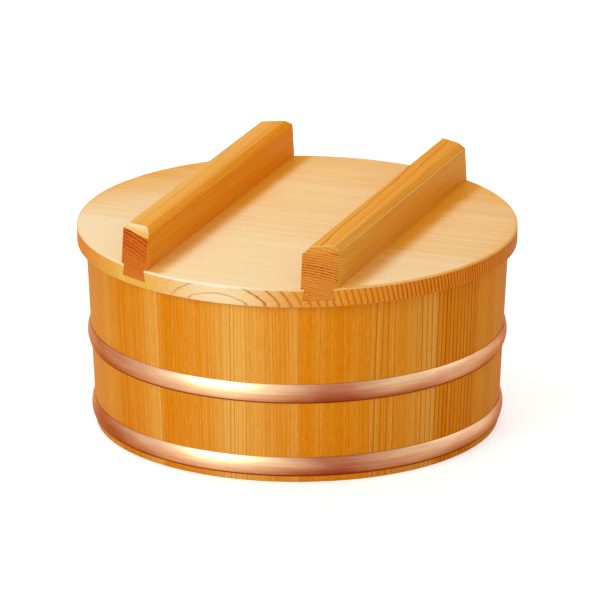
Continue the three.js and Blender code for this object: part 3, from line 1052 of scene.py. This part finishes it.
class RICETUB_OT_cleats(bpy.types.Operator):
    """Slides the two cleats into their dovetail sockets."""

    bl_idname = "rice_tub.cleats"
    bl_label = "Lid cleats"

    # The wood of each cleat, as Log says, from left to right across the grain and from front to back along
    # it, with the heart of its log in mm from the cleat's middle
    WOODS = {
        "left_cleat": {
            "heart": (-38, 0, -150), "years": 2.9, "tone": (0.95, 0.65, 0.0), "lines": (1.4, 0.3),
            "end": (0.25, -0.1), "end_lines": (-0.5, 1.2, 2.4), "drift": (0.15, 0, 0)},
        "right_cleat": {
            "heart": (-40, 0, -145), "years": 2.0, "tone": (0.3, 0.42), "lines": (0.9, 0.4),
            "end": (0.6, 0.75), "end_lines": (0.5, 1.7, 1.7), "drift": (0, 0, -0.25)},
    }

    # The bevel on the left cleat's front end, which is painted pale as a highlight: how far its faces look
    # up,
    #     at least and at most, how far they look forward, and its tones at the bottom and the top
    BEVEL_UP = (0.5, 0.85)
    BEVEL_FORWARD = 0.5
    BEVEL_HIGHLIGHT_TONES = (0.7, 1.7)

    # Edges of the right cleat that are painted pale as highlights: the way each one faces and its tone, and
    # how
    #     closely a face has to look that way
    HIGHLIT_EDGES = (((0.92, 0, 0.38), 1.2), ((0, -0.38, 0.92), 1.35))
    HIGHLIT_FACING = 0.95

    # How strongly lines show on faces painted as highlights
    HIGHLIT_LINES = 0.2

    def execute(self, context):
        sizes = context.scene.tub_sizes
        material = planed_sawara("sawara_cleats", context.scene.cleat_wood, evenness=0.42)
        for node in CLEATS:
            cleat = self.cleat(node, sizes)
            dress(cleat, node, "lid", material)
            log = Log.beside(
                node, across=ALONG_X, grain=ALONG_Y, turn=CLEAT_TURN, lean=0.01, worn=(0.2, 0.2),
                **self.WOODS[node])
            log.mark(cleat)
            self.paint_highlights(node, cleat.data)
        return {"FINISHED"}

    def cleat(self, node, sizes):
        """A cleat on its dovetail, cut to the lid's rim, with its edges eased."""
        low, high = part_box(node)
        centre, half = (low.x + high.x) / 2, (high.x - low.x) / 2
        flat, crown = CLEAT_TOP - sizes.cleat_chamfer, half - sizes.cleat_chamfer
        body = [(half, LID_TOP), (half, flat), (crown, CLEAT_TOP)]
        section = [*((-x, z) for x, z in reversed(body)), *tail_section(sizes, 0, LID_TOP)[1:-1], *body]
        section = [(x + centre, z) for x, z in section]
        cleat = run_along_y(f"planed_{node}", section, 2 * LID_RADIUS)
        cut(cleat, self.rim(sizes), "INTERSECT")
        if node == "left_cleat":
            cut(cleat, self.bevel_waste(centre, 2 * half, sizes), "DIFFERENCE")
        self.ease(cleat, sizes.cleat_arris)
        return cleat

    @staticmethod
    def rim(sizes):
        """A round solid as wide as the lid, which cuts a cleat's ends to the lid's rim."""
        crown = LID_RADIUS - sizes.cleat_lean
        bottom, top = TAIL_BOTTOM - TOOL_SPARE, CLEAT_TOP + TOOL_SPARE
        profile = [
            (LID_RADIUS, bottom),
            (LID_RADIUS, LID_TOP),
            (crown, CLEAT_TOP - sizes.cleat_chamfer),
            (crown - sizes.cleat_chamfer - TOOL_SPARE, top),
            (TOOL_SPARE, top),
            (TOOL_SPARE, bottom),
        ]
        return turned("rim", profile, RIM_STEPS)

    @staticmethod
    def bevel_waste(aside, width, sizes):
        """What the bevel takes off the left cleat's front end."""
        front = -math.sqrt((LID_RADIUS - sizes.cleat_lean) ** 2 - aside ** 2)
        outline = ((-width, -width), (width, -width), (width, width), (-width, width))
        waste = mesh_object("waste", *skin([[(x, y, z) for x, y in outline] for z in (0, width)]))
        place = Matrix.Translation((aside, front, CLEAT_TOP - sizes.bevel_drop))
        turn = Matrix.Rotation(sizes.bevel_turn, 4, "Z")
        waste.data.transform(place @ turn @ Matrix.Rotation(sizes.bevel_slope, 4, "X"))
        return waste

    @staticmethod
    def ease(cleat, arris):
        """Takes the sharpness off a cleat's edges, but leaves its dovetail crisp."""
        shape = bmesh.new()
        shape.from_mesh(cleat.data)
        weight = shape.edges.layers.float.new("bevel_weight_edge")
        for edge in shape.edges:
            on_tail = min(corner.co.z for corner in edge.verts) < LID_TOP - TAIL_START
            edge[weight] = 0.0 if on_tail or edge.calc_face_angle(0.0) < SHARP_EDGE else 1.0
        shape.to_mesh(cleat.data)
        shape.free()
        plane = cleat.modifiers.new("plane", "BEVEL")
        plane.width, plane.segments, plane.limit_method = arris, EASE_STEPS, "WEIGHT"
        settle(cleat)

    def paint_highlights(self, node, mesh):
        """Paints highlights on a cleat: the left one's bevel, and two edges of the right one."""
        if node == "left_cleat":
            least, most = self.BEVEL_UP
            upward = [f for f in mesh.polygons if least < f.normal.z < most]
            self.paint_pale(mesh, [f for f in upward if -f.normal.y > self.BEVEL_FORWARD], self.BEVEL_HIGHLIGHT_TONES)
            return
        narrow = [f for f in mesh.polygons if is_narrow(mesh, f)]
        for way, tone in self.HIGHLIT_EDGES:
            edge = [f for f in narrow if f.normal.dot(Vector(way)) > self.HIGHLIT_FACING]
            self.paint_pale(mesh, edge, (tone, tone))

    def paint_pale(self, mesh, faces, tones):
        """Gives faces these tones from their bottom to their top."""
        wood, end_grain = mesh.attributes["wood"].data, mesh.attributes["end_grain"].data
        corners = [corner for face in faces for corner in face.loop_indices]
        rise = shares([mesh.vertices[mesh.loops[corner].vertex_index].co.z for corner in corners])
        for corner, share in zip(corners, rise):
            wood[corner].color = (between(tones, share), self.HIGHLIT_LINES, *wood[corner].color[2:])
            end_grain[corner].value = 0


class RICETUB_OT_pins(bpy.types.Operator):
    """Gives the bamboo pins in the joints their finish."""

    bl_idname = "rice_tub.pins"
    bl_label = "Bamboo pins"

    def execute(self, context):
        material = split_bamboo(context.scene.trim_colours)
        for pin in PINS:
            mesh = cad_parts[pin].data
            mesh.materials.clear()
            mesh.materials.append(material)
        return {"FINISHED"}


class RICETUB_OT_stage(bpy.types.Operator):
    """Sets the floor, the soft studio light and the camera."""

    bl_idname = "rice_tub.stage"
    bl_label = "Stage"

    # Each lamp's turn from the camera and its height above the horizon, in degrees, and its distance, width
    # and height in metres
    LAMPS = {
        "key": (-43, 28, 1.7, 0.8, 0.8),
        "top": (-120, 63, 2.0, 0.45, 0.45),
        "fill": (105, 32, 2.0, 1.2, 1.2),
        "back": (170, 45, 2.0, 1.2, 1.2),
        "gloss": (-40, 14, 1.6, 1.0, 0.8),
    }

    # The floor's reach to each side and the camera's far limit in metres, and the width of its sensor in mm
    FLOOR_REACH = 12
    FAR_LIMIT = 100
    SENSOR_WIDTH = 36

    def execute(self, context):
        scene = context.scene
        scene.view_settings.view_transform = "Standard"
        self.floor(scene)
        self.world(scene)
        for name in self.LAMPS:
            self.lamp(scene, name)
        self.camera(scene)
        return {"FINISHED"}

    @staticmethod
    def out_toward(turn, rise):
        """The direction from the tub with this turn round it and this height above the horizon."""
        return Vector((math.sin(turn) * math.cos(rise), -math.cos(turn) * math.cos(rise), math.sin(rise)))

    def floor(self, scene):
        """A wide sheet of paper under the tub."""
        half = self.FLOOR_REACH
        mesh = bpy.data.meshes.new("paper_floor")
        mesh.from_pydata(
            [(-half, -half, 0), (half, -half, 0), (half, half, 0), (-half, half, 0)], [], [(0, 1, 2, 3)])
        mesh.materials.append(matt_paper(scene.trim_colours))
        floor = bpy.data.objects.new("paper_floor", mesh)
        scene.collection.objects.link(floor)

    def world(self, scene):
        """Light all round, brighter from above and in front, which is seen as plain white."""
        stage = scene.tub_stage
        world, node = emptied(bpy.data.worlds.new("studio"))
        direction = node("TexCoord").outputs["Generated"]
        height = node("SeparateXYZ", Vector=direction).outputs["Z"]
        upper = node(
            "MapRange", SMOOTH, Value=height, From_Min=0.1, From_Max=0.9, To_Min=stage.sky,
            To_Max=stage.overhead)
        forward = node(
            "VectorMath", {"operation": "DOT_PRODUCT"}, in_0=direction,
            in_1=self.out_toward(stage.turn, 0))
        nearer = node("MapRange", SMOOTH, Value=forward, From_Min=0.3, To_Max=stage.front)
        dome = node("Math", PLUS, in_0=upper, in_1=nearer)
        level = node("Mix", Factor=seen_plainly(node), A=dome, B=1.0)
        sky = node("Background", Color=(1, 1, 1, 1), Strength=level)
        node("OutputWorld", Surface=sky)
        scene.world = world

    def lamp(self, scene, name):
        """A soft lamp that faces the tub; only shiny surfaces show the one for gloss."""
        stage = scene.tub_stage
        turn, rise, distance, width, height = self.LAMPS[name]
        out = self.out_toward(stage.turn + math.radians(turn), math.radians(rise))
        light = bpy.data.lights.new(f"{name}_light", "AREA")
        light.shape, light.energy = "RECTANGLE", getattr(stage, name)
        light.size, light.size_y = width, height
        lamp = bpy.data.objects.new(f"{name}_light", light)
        lamp.location = UP * stage.middle + out * distance
        lamp.rotation_euler = out.to_track_quat("Z", "Y").to_euler()
        lamp.visible_camera = False
        lamp.visible_diffuse = name != "gloss"
        scene.collection.objects.link(lamp)

    def camera(self, scene):
        """The photograph's camera."""
        stage = scene.tub_stage
        back = self.out_toward(stage.turn, stage.rise)
        right = Vector((math.cos(stage.turn), math.sin(stage.turn), 0))
        eye = UP * stage.middle + back * stage.distance
        aim = UP * stage.middle + right * stage.aim_right + back.cross(right) * stage.aim_up
        camera = bpy.data.objects.new("camera", bpy.data.cameras.new("camera"))
        camera.data.lens, camera.data.sensor_width = stage.lens, self.SENSOR_WIDTH
        camera.data.clip_end = self.FAR_LIMIT
        camera.location = eye
        camera.rotation_euler = (eye - aim).to_track_quat("Z", "Y").to_euler()
        scene.collection.objects.link(camera)
        scene.camera = camera


OPERATORS = (
    RICETUB_OT_staves,
    RICETUB_OT_bottom,
    RICETUB_OT_hoops,
    RICETUB_OT_lid_boards,
    RICETUB_OT_cleats,
    RICETUB_OT_pins,
    RICETUB_OT_stage,
)


class RICETUB_PT_panel(bpy.types.Panel):
    """Lists the steps that build the tub."""

    bl_idname = "RICETUB_PT_panel"
    bl_label = "Rice Tub"
    bl_space_type = "VIEW_3D"
    bl_region_type = "UI"
    bl_category = "Rice Tub"

    def draw(self, context):
        for step in OPERATORS:
            self.layout.operator(step.bl_idname)


def register():
    """Registers the settings, the steps and the panel."""
    for name, group in GROUPS.items():
        bpy.utils.register_class(group)
        setattr(bpy.types.Scene, name, PointerProperty(type=group))
    for step in (*OPERATORS, RICETUB_PT_panel):
        bpy.utils.register_class(step)


def unregister():
    """Takes the panel, the steps and the settings away again."""
    for step in (RICETUB_PT_panel, *reversed(OPERATORS)):
        bpy.utils.unregister_class(step)
    for name, group in reversed(GROUPS.items()):
        delattr(bpy.types.Scene, name)
        bpy.utils.unregister_class(group)


def main():
    """Builds the tub and its stage."""
    register()
    bpy.ops.rice_tub.staves()
    bpy.ops.rice_tub.bottom()
    bpy.ops.rice_tub.hoops()
    bpy.ops.rice_tub.lid_boards()
    bpy.ops.rice_tub.cleats()
    bpy.ops.rice_tub.pins()
    bpy.ops.rice_tub.stage()


if __name__ == "__main__":
    main()
